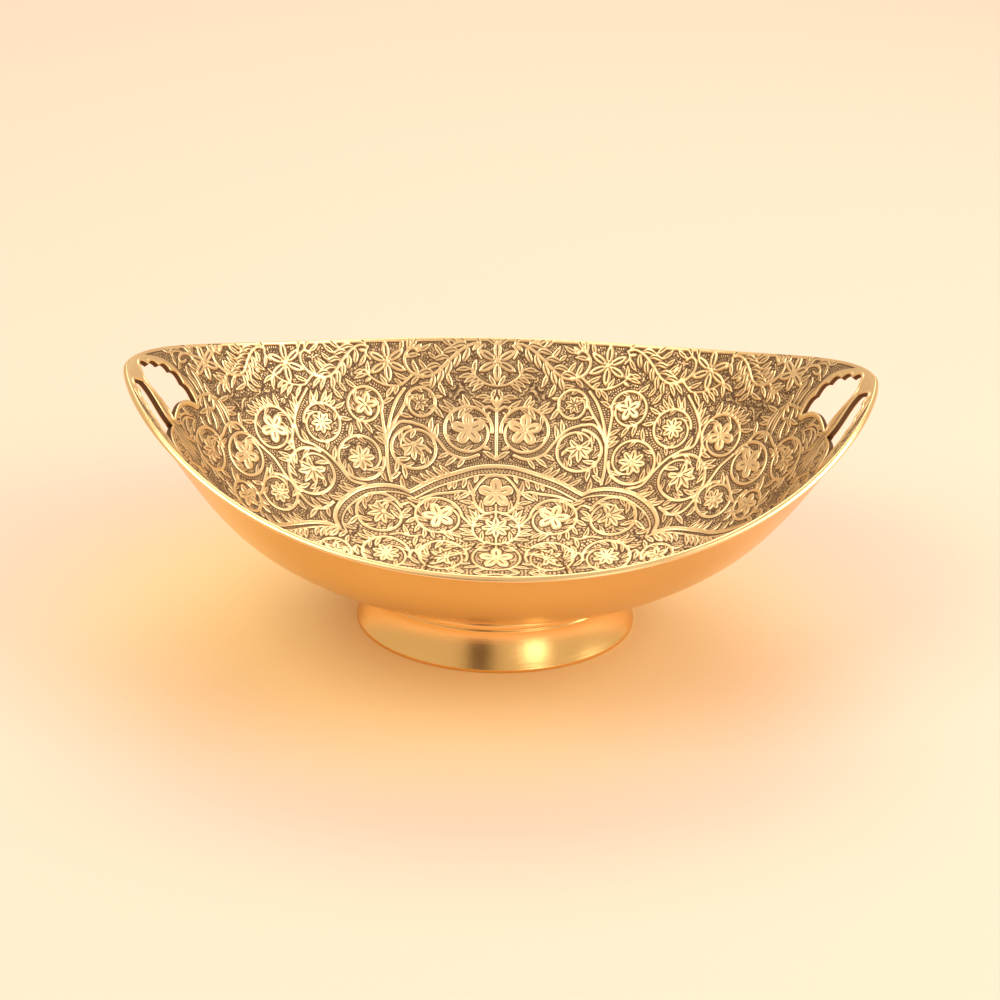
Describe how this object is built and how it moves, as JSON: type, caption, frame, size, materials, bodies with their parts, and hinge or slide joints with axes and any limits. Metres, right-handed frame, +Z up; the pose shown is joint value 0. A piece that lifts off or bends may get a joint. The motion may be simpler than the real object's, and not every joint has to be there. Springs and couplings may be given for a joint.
{
  "type": "nut bowl",
  "caption": "Oval footed serving bowl with raised, flared ends pierced as handles, and a flared ring foot brazed under it; the inside is chased with scrolling flowers.",
  "frame": {"origin": "on the surface it stands on, under the middle of the foot", "axes": "+Z up, +X along the length through the two handles, +Y across to the far side"},
  "size_m": [0.3, 0.206, 0.1148],
  "materials": {
    "cast_brass": "polished outside, chased and darkened inside",
    "turned_brass": "turned and polished, with fine lines around it",
    "filler_metal": "as brazed, dull"
  },
  "bodies": {
    "root": {"bowl": "cast_brass", "foot_ring": "turned_brass", "braze_fillet": "filler_metal"}
  },
  "joints": []
}
